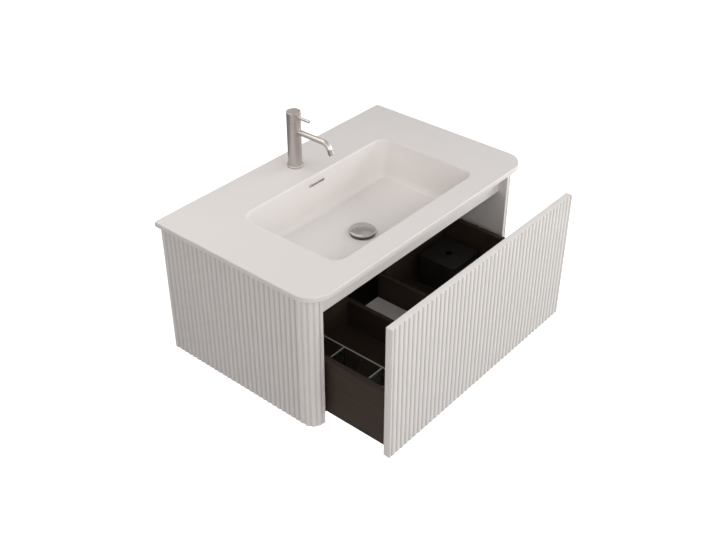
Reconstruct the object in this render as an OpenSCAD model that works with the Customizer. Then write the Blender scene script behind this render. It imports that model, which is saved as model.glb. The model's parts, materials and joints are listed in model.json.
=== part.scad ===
// Wall-hung bathroom vanity: solid-surface basin top with a pillar mixer tap and a
// click waste, on a reeded cabinet with rounded front posts and one full-extension drawer.
// X runs along the wall, the front faces -Y, Z is up. The origin is the middle of the four
// wall fixings, on the wall face. The drawer is drawn part open.

/* [Basin top] */
// Width of the top along the wall
top_w = 800; // [760:10:900]
// Depth of the top from wall to front edge
top_d = 490; // [480:5:540]
// Thickness of the top's edge
top_t = 12; // [10:1:18]
// Radius of the top's two front corners in plan
top_corner_r = 58; // [45:1:70]
// Radius of the top's two back corners in plan
top_back_r = 5; // [3:1:10]
// Rounding of the top's edges
top_edge_r = 2.5; // [1.5:0.5:4]

/* [Bowl] */
// Width of the bowl at its rim
bowl_w = 510; // [440:5:540]
// Distance from the wall to the bowl's back rim
bowl_back = 136; // [130:1:150]
// Distance from the bowl's front rim to the top's front edge
bowl_front = 64; // [62:1:72]
// Depth of the bowl at the waste
bowl_h = 110; // [95:1:115]
// Corner radius of the bowl at its rim
bowl_r = 30; // [20:1:45]
// Wall thickness of the bowl
bowl_wall = 9; // [7:0.5:12]
// Lean of the bowl's walls from the vertical, in degrees
bowl_draft = 4; // [2:0.5:5]
// Radius of the floor's corners, inside the round foot of the walls
floor_corner_r = 1; // [0.5:0.5:8]
// Fall of the bowl's floor towards the waste
bowl_fall = 5; // [3:0.5:8]
// Radius of the rim's soft edge
rim_r = 5; // [2:0.5:6]
// Length of the overflow slot
overflow_w = 54; // [40:1:70]
// Height of the overflow slot
overflow_h = 7; // [6:0.5:10]
// Depth of the overflow slot's middle below the top
overflow_drop = 22; // [18:1:32]

/* [Tap] */
// Distance from the wall to the tap's axis
tap_back = 66; // [60:1:76]
// Diameter of the tap body
tap_dia = 35.5; // [34:0.5:40]
// Height of the tap above the top
tap_h = 148; // [140:1:190]
// Height of the turning cap
cap_h = 24.7; // [22:0.1:28]
// Diameter of the tap's foot ring
foot_dia = 42; // [41:0.5:50]
// Height of the tap's foot ring
foot_h = 6; // [4:0.5:8]
// Height of the spout's axis above the top
spout_z = 97; // [88:1:103]
// Reach of the spout's straight part from the tap's axis
spout_run = 94; // [70:1:120]
// Outside diameter of the spout
spout_dia = 14; // [12:0.5:18]
// Wall of the spout tube
spout_wall = 2; // [1:0.25:3]
// Radius of the spout's bend
spout_bend_r = 24; // [20:1:40]
// Angle through which the spout bends down
spout_bend = 65; // [45:1:85]
// Straight end of the spout after its bend
spout_tip = 14; // [10:1:20]
// Diameter of the lever pin
lever_dia = 7.8; // [6:0.2:9]
// Reach of the lever pin from the tap's axis
lever_reach = 52; // [40:1:60]
// Diameter of the tap's threaded shank
shank_dia = 32.4; // [28:0.2:33]
// Length of the shank below the top's underside
shank_drop = 36; // [30:1:50]
// Outside diameter of the two supply tails
supply_dia = 10; // [8:0.5:12]
// Wall of the two supply tails
supply_wall = 1; // [0.8:0.1:1.5]
// Length of the supply tails below the shank
supply_l = 60; // [40:5:100]
// Distance of each supply tail from the tap's axis
supply_x = 9; // [8:0.5:9.5]
// Depth to which the supply tails are screwed into the shank
supply_in = 12; // [8:1:16]

/* [Waste] */
// Distance from the bowl's back rim to the waste's axis
waste_in = 148; // [140:1:152]
// Diameter of the domed waste cap
plug_dia = 65; // [60:1:70]
// Height of the domed waste cap
plug_h = 8; // [6:0.5:10]
// How far the waste cap stands open at rest
plug_lift = 6.5; // [4:0.5:8]
// Diameter of the waste flange
waste_flange_dia = 62; // [58:1:66]
// Diameter of the waste body's thread
waste_dia = 43; // [41:0.5:44]
// Length of the waste body below its flange
waste_l = 60; // [55:1:70]
// Diameter of the tail pipe
tail_dia = 32; // [30:0.5:33]
// Length of the tail pipe below its coupling
tail_l = 20; // [18:1:40]

/* [Cabinet] */
// How far each side of the cabinet stands in from the top's edge
side_inset = 15; // [10:1:20]
// How far the cabinet's front stands in from the top's front edge
front_inset = 22; // [16:1:30]
// Height of the cabinet under the top
cab_h = 360; // [345:5:400]
// Thickness of the carcass side panels
side_t = 18; // [16:1:19]
// Thickness of the reeded outer boards without their reeds
clad_t = 17.5; // [14:0.5:20]
// Spacing of the reeds
reed_pitch = 15.2; // [13:0.2:18]
// Height of each reed above the grooves
reed_h = 2.5; // [2:0.25:4]
// Radius of the rounded corner of each front post
post_r = 30; // [26:1:34]
// Number of reeds around each front post
post_reeds = 3; // [2:1:4]
// Thickness of the bottom panel
bottom_t = 15; // [12:1:18]
// Thickness of the back panel between the two back rails
back_t = 3; // [2.5:0.5:6]
// Width of the back panel's cut-out for the pipes
service_w = 240; // [180:10:320]
// Height of the back panel's cut-out
service_h = 110; // [80:5:130]
// Thickness of the two back rails
rail_t = 18; // [16:1:20]
// Height of the two back rails
rail_h = 80; // [70:1:90]
// Height of the front rail below the top
front_rail_h = 73; // [60:1:80]
// Thickness of the front rail
front_rail_t = 16; // [14:1:18]
// Gap between the closed drawer front and the front rail
front_gap = 5; // [4:0.5:8]

/* [Wall fixings] */
// Distance from each wall fixing to the nearer end of the top
fixing_end = 100; // [80:5:150]
// Distance between the upper and lower wall fixings
fixing_z = 240; // [220:5:250]
// Depth of the upper fixings below the top's underside
fixing_drop = 60; // [50:1:65]
// Diameter of the wall fixing holes
fixing_dia = 11; // [9:0.5:13]

/* [Drawer] */
// How far the drawer is drawn open
drawer_open = 185; // [120:5:260]
// Thickness of the drawer front over its reeds
front_t = 18; // [16:1:20]
// Gap between the drawer front and each post
front_side_gap = 2; // [1.5:0.5:5]
// Gap above the drawer front
front_top_gap = 4; // [2:0.5:6]
// Gap below the drawer front
front_bottom_gap = 3; // [2:0.5:6]
// Length of the drawer box from front to back
box_l = 350; // [300:10:380]
// Height of the drawer sides
box_h = 150; // [130:5:170]
// Thickness of the drawer sides and back
box_t = 15; // [12:1:16]
// Thickness of the drawer floor
floor_t = 8; // [6:1:10]
// Height of the drawer's underside above the bottom panel
box_lift = 5; // [4:0.5:10]
// How far the floor is let in above the sides' lower edge
floor_lift = 8; // [6:1:12]
// Clear width of the pipe bay in the middle of the drawer
bay_w = 124; // [110:2:160]
// Thickness of the pipe bay's walls
bay_t = 12; // [9:1:15]
// Height of the pipe bay's walls above the floor
bay_h = 72; // [60:1:100]

/* [Organisers] */
// Distance from the drawer's left side to the long glass divider
divider_x = 46; // [40:1:80]
// Thickness of the glass dividers
glass_t = 4; // [3:0.5:5]
// Spacing of the cross dividers
divider_pitch = 109; // [90:1:120]
// Distance from the drawer front to the first cross divider
divider_first = 63; // [40:1:80]
// Width of the lidded box along X
tidy_w = 113; // [90:1:120]
// Depth of the lidded box along Y
tidy_d = 112; // [90:1:120]
// Height of the lidded box without its lid
tidy_h = 82; // [60:1:95]
// Wall of the lidded box
tidy_wall = 2.5; // [2:0.5:3]
// Gap between the lidded box and the drawer side
tidy_side_gap = 21.3; // [5:0.1:40]
// Gap between the lidded box and the drawer back
tidy_back_gap = 20; // [5:1:60]
// Diameter of the finger hole in the lid
finger_dia = 18; // [14:1:22]

/* [Runners] */
// Gap between carcass and drawer side
side_play = 12.7; // [10:0.1:14]
// Width of the runner under the drawer floor
runner_w = 34; // [28:1:44]
// Thickness of the runner's steel
runner_t = 1.2; // [1:0.1:1.5]
// Gap between runner members
runner_gap = 0.4; // [0.3:0.05:0.6]
// Height of the runner's fixing flange on the carcass side
flange_h = 28; // [20:1:40]

/* [Hidden] */
$fn = 64;

eps = 0.01;
seat = 0.3;                       // gap between pieces of different bodies that meet
slip = 0.05;                      // radial clearance of a running fit
joint_gap = 0.05;                 // gap between two pieces screwed together end to end

// heights
cab_top = fixing_z / 2 + fixing_drop;
cab_bottom = cab_top - cab_h;
z_top = cab_top + top_t;
front_top = cab_top - front_top_gap;
front_bottom = cab_bottom + front_bottom_gap;
box_bottom = cab_bottom + bottom_t + box_lift;
box_top = box_bottom + box_h;
floor_under = box_bottom + floor_lift;
floor_top = floor_under + floor_t;
panel_top = cab_bottom + bottom_t;

// widths
cab_half = top_w / 2 - side_inset;
carcass_half = cab_half - clad_t - reed_h;
open_half = carcass_half - side_t;
front_half = open_half - front_side_gap;
box_half = open_half - side_play;
inner_half = box_half - box_t;
bay_half = bay_w / 2;

fixing_x = top_w - 2 * fixing_end;

// depths
y_front = -(top_d - front_inset);
y_back_of_front = y_front + front_t;
y_rail = y_back_of_front + front_gap;
y_carcass = y_rail + 2;
y_box = y_back_of_front - drawer_open;
y_box_end = y_box + box_l;

nickel = [0.62, 0.60, 0.57];
matt_white = [0.93, 0.93, 0.92];
board_white = [0.90, 0.89, 0.88];
umber = [0.22, 0.18, 0.15];
dark_plastic = [0.12, 0.12, 0.11];
zinc = [0.70, 0.71, 0.73];
glass_green = [0.75, 0.85, 0.82, 0.6];

// ---------- basin top ----------
bowl_d = top_d - bowl_front - bowl_back;
draft_run = bowl_h * tan(bowl_draft);
// radius between the bowl's walls and floor, as large as the rim's corners leave room for
bowl_fillet = (bowl_r - draft_run - floor_corner_r)
    / (cos(bowl_draft) + (sin(bowl_draft) - 1) * tan(bowl_draft));
bowl_y = -(bowl_back + bowl_d / 2);
bowl_floor = z_top - bowl_h;
waste_y = -(bowl_back + waste_in);
waste_hole_dia = waste_dia + 2;
recess_dia = waste_flange_dia + 1;
recess_h = 2;
tap_y = -tap_back;
tap_hole_dia = shank_dia + 2.6;

// sweeps a half profile round a rounded rectangle: x runs out from the corner's centre, y up
module round_sweep(w, d, r) {
    x = w / 2 - r;
    y = d / 2 - r;
    for (sx = [0, 1], sy = [0, 1]) mirror([sx, 0, 0]) mirror([0, sy, 0])
        translate([x, y, 0]) rotate_extrude(angle = 90, $fn = 96) children();
    for (sx = [0, 1]) mirror([sx, 0, 0]) translate([x, y, 0])
        rotate([90, 0, 0]) linear_extrude(2 * y) children();
    for (sy = [0, 1]) mirror([0, sy, 0]) translate([-x, y, 0])
        rotate([90, 0, 90]) linear_extrude(2 * x) children();
}

// half profile of the bowl: rim at x = r, leaning wall, round foot
module bowl_profile(r, h, f) {
    foot = r - (h - f + f * sin(bowl_draft)) * tan(bowl_draft) - f * cos(bowl_draft);
    intersection() {
        translate([foot, f - h]) circle(r = f, $fn = 96);
        translate([0, -h]) square([r, h]);
    }
    polygon([
        [0, -h], [foot, -h],
        [foot + f * cos(bowl_draft), f - h - f * sin(bowl_draft)],
        [r, 0], [0, 0]
    ]);
}

// flare of the rim: what is cut away from the top's surface round the bowl
module rim_profile(r) {
    out = rim_r * (1 / cos(bowl_draft) - tan(bowl_draft));
    difference() {
        polygon([
            [0, -rim_r], [r + out, -rim_r * 0.8],
            [r + out, 1], [0, 1]
        ]);
        translate([r + out, -rim_r]) circle(r = rim_r, $fn = 96);
    }
}

module bowl_block(w, d, r, h, f) {
    x = w / 2 - r;
    y = d / 2 - r;
    round_sweep(w, d, r) bowl_profile(r, h, f);
    translate([-x, -y, -h]) cube([2 * x, 2 * y, h]);
}

module bowl_cavity() {
    translate([0, bowl_y, z_top]) {
        intersection() {
            bowl_block(bowl_w, bowl_d, bowl_r, bowl_h, bowl_fillet);
            // floor that falls to the waste from all round
            translate([0, waste_y - bowl_y, -bowl_h]) rotate_extrude($fn = 96)
                polygon([
                    [0, 0], [recess_dia / 2, 0], [bowl_w * 0.6, bowl_fall],
                    [bowl_w * 0.6, bowl_h + 1], [0, bowl_h + 1]
                ]);
        }
        round_sweep(bowl_w, bowl_d, bowl_r) rim_profile(bowl_r);
        translate([-bowl_w / 2 + bowl_r, -bowl_d / 2 + bowl_r, -rim_r])
            cube([bowl_w - 2 * bowl_r, bowl_d - 2 * bowl_r, rim_r + 1]);
    }
}

module bowl_shell() {
    translate([0, bowl_y, z_top])
        bowl_block(bowl_w + 2 * bowl_wall, bowl_d + 2 * bowl_wall, bowl_r + bowl_wall,
            bowl_h + bowl_wall, bowl_fillet + bowl_wall);
}

slab_corners = [
    [-1, -1, top_corner_r, 180], [1, -1, top_corner_r, 270],
    [1, 1, top_back_r, 0], [-1, 1, top_back_r, 90]
];

module slab_plan() {
    for (c = slab_corners)
        translate([c[0] * (top_w / 2 - c[2]), -top_d / 2 + c[1] * (top_d / 2 - c[2])])
            circle(r = c[2], $fn = 96);
    translate([-top_w / 2 + top_corner_r, -top_d])
        square([top_w - 2 * top_corner_r, top_d]);
    translate([-top_w / 2, -top_d + top_corner_r])
        square([top_w, top_d - top_corner_r - top_back_r]);
    translate([-top_w / 2 + top_back_r, -top_d / 2])
        square([top_w - 2 * top_back_r, top_d / 2]);
}

module edge_profile() {
    difference() {
        square(top_edge_r + 1);
        circle(r = top_edge_r);
    }
}

// what rounds off the top's upper edge, all the way round
module edge_cutter() {
    front = top_w - 2 * top_corner_r;
    back = top_w - 2 * top_back_r;
    side = top_d - top_corner_r - top_back_r;
    e = top_edge_r;
    translate([0, 0, z_top - e]) {
        for (c = slab_corners)
            translate([c[0] * (top_w / 2 - c[2]), -top_d / 2 + c[1] * (top_d / 2 - c[2])])
                rotate([0, 0, c[3]]) rotate_extrude(angle = 90, $fn = 96)
                    translate([c[2] - e, 0]) edge_profile();
        translate([-front / 2, -top_d + e]) rotate([90, 0, 90])
            linear_extrude(front) mirror([1, 0]) edge_profile();
        translate([-back / 2, -e]) rotate([90, 0, 90]) linear_extrude(back) edge_profile();
        for (sx = [0, 1]) mirror([sx, 0, 0]) translate([top_w / 2 - e, -top_back_r])
            rotate([90, 0, 0]) linear_extrude(side) edge_profile();
    }
}

module slab() {
    difference() {
        translate([0, 0, cab_top]) linear_extrude(top_t) slab_plan();
        edge_cutter();
    }
}

overflow_z = z_top - overflow_drop;
overflow_y = -bowl_back;
channel_w = overflow_w + 12;
channel_d = bowl_wall + 8;
channel_bottom = z_top - bowl_h * 0.8;

module slot(w, h, d) {
    rotate([90, 0, 0]) translate([0, 0, -d / 2]) {
        for (sx = [-1, 1]) translate([sx * (w - h) / 2, 0, 0]) cylinder(d = h, h = d);
        translate([-(w - h) / 2, -h / 2, 0]) cube([w - h, h, d]);
    }
}

module basin_top() {
    color(matt_white) difference() {
        union() {
            slab();
            bowl_shell();
            // moulded overflow channel down the back of the bowl
            translate([-channel_w / 2, overflow_y - 4, channel_bottom])
                cube([channel_w, channel_d + 4, z_top - channel_bottom - top_t / 2]);
        }
        bowl_cavity();
        translate([0, tap_y, cab_top - 1]) cylinder(d = tap_hole_dia, h = top_t + 2);
        translate([0, waste_y, bowl_floor - bowl_wall - 1])
            cylinder(d = waste_hole_dia, h = bowl_wall + 2);
        translate([0, waste_y, bowl_floor - recess_h])
            cylinder(d = recess_dia, h = recess_h + 3);
        translate([0, overflow_y + 3, overflow_z]) slot(overflow_w, overflow_h, 14);
    }
}

module overflow_trim() {
    lip = 1.2;
    gap = 2.6;
    sleeve_l = 11;
    lip_t = 1;
    wall_y = overflow_y - overflow_drop * tan(bowl_draft);
    color(nickel) difference() {
        union() {
            translate([0, overflow_y + 2, overflow_z])
                slot(overflow_w - 0.2, overflow_h - 0.2, sleeve_l);
            translate([0, wall_y - 1.3, overflow_z])
                slot(overflow_w + 2 * lip, overflow_h + 2 * lip, lip_t);
        }
        translate([0, wall_y, overflow_z]) slot(overflow_w - 8, gap, 2 * sleeve_l);
    }
}

// ---------- waste ----------
flange_top = bowl_floor + 0.8;
guide_r = 5;
guide_h = 8;
guide_drop = 26;
guide_z = bowl_floor - guide_drop;
body_bore = waste_dia - 8;

module waste_body() {
    color(nickel) translate([0, waste_y, 0]) {
        difference() {
            union() {
                translate([0, 0, bowl_floor - recess_h])
                    cylinder(d = waste_flange_dia, h = flange_top - bowl_floor + recess_h);
                translate([0, 0, bowl_floor - recess_h - waste_l])
                    cylinder(d = waste_dia, h = waste_l + 1);
            }
            translate([0, 0, bowl_floor - recess_h - waste_l - 1])
                cylinder(d = body_bore, h = waste_l + recess_h + 5);
            translate([0, 0, flange_top - 1.4])
                cylinder(d1 = body_bore, d2 = waste_flange_dia - 8, h = 1.5);
        }
        // three arms carry the guide of the click stem
        difference() {
            union() {
                translate([0, 0, guide_z]) cylinder(r = guide_r + 3, h = guide_h);
                for (a = [90, 210, 330]) rotate([0, 0, a])
                    translate([guide_r + 1, -1.5, guide_z])
                        cube([body_bore / 2 - guide_r, 3, guide_h]);
            }
            translate([0, 0, guide_z - 1]) cylinder(r = guide_r + slip, h = guide_h + 2);
        }
    }
}

cap_base = flange_top + plug_lift + 0.5;

module waste_cap() {
    dome_r = (pow(plug_dia / 2, 2) + pow(plug_h * 0.55, 2)) / (2 * plug_h * 0.55);
    rim_h = plug_h * 0.45;
    color(nickel) translate([0, waste_y, cap_base]) difference() {
        intersection() {
            cylinder(d = plug_dia, h = plug_h);
            translate([0, 0, rim_h + plug_h * 0.55 - dome_r]) sphere(r = dome_r, $fn = 128);
        }
        translate([0, 0, -1]) cylinder(d = plug_dia - 6, h = rim_h);
    }
}

module waste_stem() {
    color(zinc) translate([0, waste_y, 0]) {
        translate([0, 0, guide_z - 12])
            cylinder(r = guide_r, h = cap_base + plug_h * 0.45 - 1 - guide_z + 12);
        translate([0, 0, cap_base - 2]) cylinder(r = guide_r + 5, h = plug_h * 0.45 + 1);
    }
}

gasket_h = 5;
gasket_lap = 12;
nut_h = 12;
nut_wall = 7;
nut_flange = 3;
bowl_under = bowl_floor - bowl_wall;

module waste_gasket() {
    color("dimgray") translate([0, waste_y, bowl_under - gasket_h]) difference() {
        cylinder(d = waste_dia + 2 * gasket_lap, h = gasket_h);
        translate([0, 0, -1]) cylinder(d = waste_dia + 0.2, h = gasket_h + 2);
    }
}

module waste_nut() {
    color(nickel) translate([0, waste_y, bowl_under - gasket_h - nut_h]) difference() {
        union() {
            cylinder(d = waste_dia + 2 * nut_wall, h = nut_h);
            translate([0, 0, nut_h - nut_flange])
                cylinder(d = waste_dia + 2 * nut_wall + 2 * nut_flange, h = nut_flange);
            for (a = [0:45:315]) rotate([0, 0, a])
                translate([waste_dia / 2 + nut_wall - 2, -2.5, 0]) cube([4.5, 5, nut_h]);
        }
        translate([0, 0, -1]) cylinder(d = waste_dia + 0.2, h = nut_h + 2);
    }
}

body_end = bowl_floor - recess_h - waste_l;
tail_neck_dia = tail_dia - 1;
coupling_h = 18;
coupling_lap = 9;

module waste_coupling() {
    color(nickel) translate([0, waste_y, body_end + coupling_lap - coupling_h]) difference() {
        union() {
            cylinder(d = waste_dia + 8, h = coupling_h);
            cylinder(d = waste_dia + 11, h = 4);
        }
        translate([0, 0, -1]) cylinder(d = tail_neck_dia + 0.2, h = coupling_h + 2);
        translate([0, 0, coupling_h - coupling_lap])
            cylinder(d = waste_dia + 0.2, h = coupling_lap + 1);
    }
}

tail_top = body_end - 0.5;
tail_end = body_end + coupling_lap - coupling_h - tail_l;

module waste_tail() {
    color(nickel) translate([0, waste_y, tail_end]) difference() {
        union() {
            cylinder(d = tail_dia, h = tail_l);
            cylinder(d = tail_neck_dia, h = tail_top - tail_end);
        }
        translate([0, 0, -1]) cylinder(d = tail_dia - 3, h = tail_top - tail_end + 2);
    }
}

// ---------- tap ----------
foot_floor = 2;
body_base = z_top + foot_floor;
cap_base_z = z_top + tap_h - cap_h;
body_top = cap_base_z - seat;
cartridge_bore = 26;
cartridge_base = z_top + spout_z + 12;
ring_h = 5;
stem_r = 8;
lever_z = cap_base_z + cap_h / 2;
socket_l = 6;

module tap_foot() {
    color(nickel) translate([0, tap_y, z_top]) rotate_extrude($fn = 96)
        polygon([
            [shank_dia / 2 + 0.1, 0], [foot_dia / 2, 0], [foot_dia / 2, foot_h - 1.2],
            [foot_dia / 2 - 1.2, foot_h], [tap_dia / 2 + 0.1, foot_h],
            [tap_dia / 2 + 0.1, foot_floor], [shank_dia / 2 + 0.1, foot_floor]
        ]);
}

module tap_body() {
    color(nickel) translate([0, tap_y, 0]) difference() {
        translate([0, 0, body_base]) cylinder(d = tap_dia, h = body_top - body_base, $fn = 96);
        translate([0, 0, cartridge_base])
            cylinder(d = cartridge_bore, h = body_top - cartridge_base + 1);
        translate([0, 0, z_top + spout_z]) rotate([90, 0, 0])
            translate([0, 0, tap_dia / 2 - socket_l]) cylinder(d = spout_dia + 0.1, h = socket_l + 2);
        // water way from the cartridge to the spout
        translate([0, 0, z_top + spout_z]) rotate([90, 0, 0])
            cylinder(d = spout_dia - 2 * spout_wall, h = tap_dia / 2);
    }
}

tip_y = tap_y - spout_run - spout_bend_r * sin(spout_bend);
tip_z = z_top + spout_z - spout_bend_r * (1 - cos(spout_bend));
spout_bore = spout_dia - 2 * spout_wall;

module at_tip(z) {
    translate([0, tip_y, tip_z]) rotate([90 + spout_bend, 0, 0]) translate([0, 0, z]) children();
}

module spout_ring() {
    difference() {
        circle(d = spout_dia);
        circle(d = spout_bore);
    }
}

// tube along -Y: straight run, then the bend down
module tap_spout() {
    run0 = tap_dia / 2 - socket_l;
    color(nickel) translate([0, tap_y, z_top + spout_z]) {
        rotate([90, 0, 0]) translate([0, 0, run0])
            linear_extrude(spout_run - run0) spout_ring();
        translate([0, -spout_run, -spout_bend_r]) rotate([90, 0, -90])
            rotate([0, 0, 90]) rotate_extrude(angle = -spout_bend, $fn = 96)
                translate([spout_bend_r, 0]) spout_ring();
    }
}

sieve_h = 5;

// straight end piece, with the sieve just inside its mouth
module tap_aerator() {
    hole = 1.6;
    color(nickel) difference() {
        at_tip(joint_gap) cylinder(d = spout_dia, h = spout_tip - joint_gap);
        at_tip(-1) cylinder(d = spout_bore, h = spout_tip - sieve_h);
        at_tip(spout_tip - 1) cylinder(d = spout_bore, h = 2);
        at_tip(spout_tip - sieve_h - 2) {
            cylinder(d = hole, h = sieve_h + 4);
            for (a = [0:60:300])
                translate([spout_bore * 0.3 * cos(a), spout_bore * 0.3 * sin(a), 0])
                    cylinder(d = hole, h = sieve_h + 4);
        }
    }
}

ring_base = body_top - ring_h - 1;

module tap_cartridge() {
    color("ivory") translate([0, tap_y, cartridge_base])
        cylinder(d = cartridge_bore - 0.2, h = ring_base - cartridge_base);
}

module tap_ring() {
    color("goldenrod") translate([0, tap_y, ring_base]) difference() {
        cylinder(d = cartridge_bore - 0.1, h = ring_h);
        translate([0, 0, -1]) cylinder(r = stem_r + slip, h = ring_h + 2);
        for (a = [45:90:315]) rotate([0, 0, a])
            translate([cartridge_bore / 2 - 2, -1.5, ring_h - 2]) cube([4, 3, 3]);
    }
}

module tap_stem() {
    color("gainsboro") translate([0, tap_y, ring_base + seat]) difference() {
        union() {
            cylinder(r = stem_r, h = ring_h + 3);
            translate([0, 0, ring_h + 3 - eps]) cylinder(r = stem_r - 2.5, h = 7);
        }
        translate([-1.5, -stem_r - 1, ring_h + 5]) cube([3, 2 * stem_r + 2, 8]);
    }
}

module tap_cap() {
    hollow = tap_dia / 2 - 3;
    color(nickel) translate([0, tap_y, 0]) difference() {
        translate([0, 0, cap_base_z]) rotate_extrude($fn = 96)
            polygon([
                [0, 0], [tap_dia / 2, 0], [tap_dia / 2, cap_h - 0.8],
                [tap_dia / 2 - 0.8, cap_h], [tap_dia / 2 - 2.4, cap_h],
                [tap_dia / 2 - 2.4, cap_h - 0.8], [0, cap_h - 0.8]
            ]);
        translate([0, 0, cap_base_z - 1]) cylinder(r = hollow, h = cap_h - 6 + 1);
        translate([0, 0, lever_z]) rotate([90, 0, 0])
            translate([0, 0, hollow - 2]) cylinder(d = lever_dia + 0.1, h = 12);
    }
}

module tap_lever() {
    root = tap_dia / 2 - 3;
    color(nickel) translate([0, tap_y, lever_z]) rotate([90, 0, 0])
        translate([0, 0, root]) rotate_extrude()
            polygon([
                [0, 0], [lever_dia / 2, 0], [lever_dia / 2, lever_reach - root - 0.8],
                [lever_dia / 2 - 0.8, lever_reach - root], [0, lever_reach - root]
            ]);
}

shank_end = cab_top - shank_drop;
supply_root = supply_dia - 1;      // the tails' upper ends, screwed into the shank
supply_gap = 0.3;

module tap_shank() {
    color("goldenrod") translate([0, tap_y, 0]) difference() {
        translate([0, 0, shank_end]) cylinder(d = shank_dia, h = body_base - shank_end);
        for (sx = [-1, 1]) translate([sx * supply_x, 0, shank_end - 1])
            cylinder(d = supply_root + 2 * supply_gap, h = supply_in + 1);
    }
}

module tap_tails() {
    color("chocolate") for (sx = [-1, 1]) translate([sx * supply_x, tap_y, shank_end])
        rotate_extrude() polygon([
            [supply_dia / 2 - supply_wall, -supply_l], [supply_dia / 2, -supply_l],
            [supply_dia / 2, 0], [supply_root / 2, 0], [supply_root / 2, supply_in],
            [supply_dia / 2 - supply_wall, supply_in]
        ]);
}

washer_h = 4;
tap_nut_h = 9;

module tap_washer() {
    color("dimgray") translate([0, tap_y, cab_top - washer_h]) difference() {
        cylinder(d = shank_dia + 16, h = washer_h);
        translate([0, 0, -1]) cylinder(d = shank_dia + 0.2, h = washer_h + 2);
    }
}

module tap_nut() {
    color("goldenrod") translate([0, tap_y, cab_top - washer_h - tap_nut_h]) difference() {
        cylinder(d = shank_dia + 12, h = tap_nut_h, $fn = 6);
        translate([0, 0, -1]) cylinder(d = shank_dia + 0.2, h = tap_nut_h + 2);
    }
}

// ---------- reeded boards ----------
reed_root = 1;                    // depth to which the reeds run into their board

function reed_count(w) = round(w / reed_pitch);
function reed_r(p) = p * p / (8 * reed_h) + reed_h / 2;

// plan of a reeded board: w along x, backing from y = 0, reeds up to y = back + reed_h;
// `lead` is the first reed's middle in pitches from the end, and 0 halves the end reeds
module reeded_plan(w, back, lead) {
    n = reed_count(w);
    p = w / n;
    r = reed_r(p);
    square([w, back - reed_root / 2]);
    intersection() {
        for (i = [0:n - 2 * lead])
            translate([(i + lead) * p, back + reed_h - r]) circle(r = r);
        translate([0, back - reed_root]) square([w, reed_h + 2 * reed_root]);
    }
}

// right-hand post seen from above, with x = 0 at the opening and y = 0 at its front
post_w = cab_half - open_half;
land_w = post_w - post_r;
post_l = post_r + 2;

module post_plan() {
    step = 90 / post_reeds;
    valley = post_r - reed_h;
    r = post_r * sin(step / 2) * 1.05;
    difference() {
        union() {
            square([land_w, post_l]);
            intersection() {
                translate([land_w, post_r]) union() {
                    circle(r = valley + 0.6);
                    for (i = [0:post_reeds - 1])
                        rotate([0, 0, -90 + (i + 0.5) * step])
                            translate([post_r - r, 0]) circle(r = r);
                }
                translate([land_w, 0]) square([post_r + 1, post_r]);
            }
            translate([land_w - eps, post_r - eps]) square([post_r - reed_h, post_l - post_r]);
        }
        translate([-1, y_carcass - y_front]) square([side_t + 1, post_l]);
    }
}

module mirrored(left) {
    if (left) mirror([1, 0, 0]) children();
    else children();
}

module post(left) {
    color(board_white) mirrored(left) translate([open_half, y_front, cab_bottom])
        linear_extrude(cab_h) post_plan();
}

module cladding(left) {
    l = -(y_front + post_l);
    color(board_white) mirrored(left) translate([carcass_half, 0, cab_bottom])
        rotate([0, 0, -90]) linear_extrude(cab_h) reeded_plan(l, clad_t, 0.5);
}

module post_left() { post(true); }
module post_right() { post(false); }
module cladding_left() { cladding(true); }
module cladding_right() { cladding(false); }

// ---------- carcass ----------
module carcass_side(left) {
    color(board_white) mirrored(left) difference() {
        translate([open_half, y_carcass, cab_bottom]) cube([side_t, -y_carcass, cab_h]);
        at_blocks() side_screw(screw_play);
    }
}

module carcass_side_left() { carcass_side(true); }
module carcass_side_right() { carcass_side(false); }

// the panels that close the cabinet below and behind are dark, as the inside looks
module bottom_panel() {
    color(umber) translate([-open_half, y_rail, cab_bottom])
        cube([2 * open_half, -y_rail, bottom_t]);
}

// the rail is relieved behind for the bowl
module front_rail() {
    relief_w = bowl_w + 2 * bowl_wall + 6;
    relief_y = -(top_d - bowl_front) - bowl_wall - 1;
    color(board_white) difference() {
        translate([-open_half, y_rail, cab_top - front_rail_h])
            cube([2 * open_half, front_rail_t, front_rail_h]);
        translate([-relief_w / 2, relief_y, cab_top - front_rail_h - 1])
            cube([relief_w, front_rail_t * 2, front_rail_h + 2]);
    }
}

module back_rail(z) {
    color(board_white) difference() {
        translate([-open_half, -rail_t, z - rail_h / 2]) cube([2 * open_half, rail_t, rail_h]);
        for (sx = [-1, 1]) translate([sx * fixing_x / 2, 1, z]) rotate([90, 0, 0])
            cylinder(d = fixing_dia, h = rail_t + 2);
    }
}

module back_rail_upper() { back_rail(fixing_z / 2); }
module back_rail_lower() { back_rail(-fixing_z / 2); }

// thin panel that closes the back between the rails, with a cut-out for the wall's pipes
module back_panel() {
    h = fixing_z - rail_h;
    color(umber) difference() {
        translate([-open_half, -rail_t, -h / 2]) cube([2 * open_half, back_t, h]);
        translate([-service_w / 2, -rail_t - 1, -service_h / 2])
            cube([service_w, back_t + 2, service_h]);
    }
}

plate_w = 50;
plate_h = 60;
plate_t = 3;

module fixing_plates() {
    color(zinc) for (sx = [-1, 1], sz = [-1, 1])
        translate([sx * fixing_x / 2, -rail_t, sz * fixing_z / 2]) difference() {
            translate([-plate_w / 2, -plate_t, -plate_h / 2]) cube([plate_w, plate_t, plate_h]);
            translate([0, 1, 0]) rotate([90, 0, 0]) cylinder(d = fixing_dia, h = plate_t + 2);
        }
}

block = 24;
block_screw_d = 4;

// one block in each upper corner of the carcass, against a side and a rail
module at_blocks() {
    for (sx = [0, 1]) mirror([sx, 0, 0]) {
        translate([open_half - block, y_rail + front_rail_t, cab_top - block]) children();
        translate([open_half - block, -rail_t - block, cab_top - block]) children();
    }
}

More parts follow.
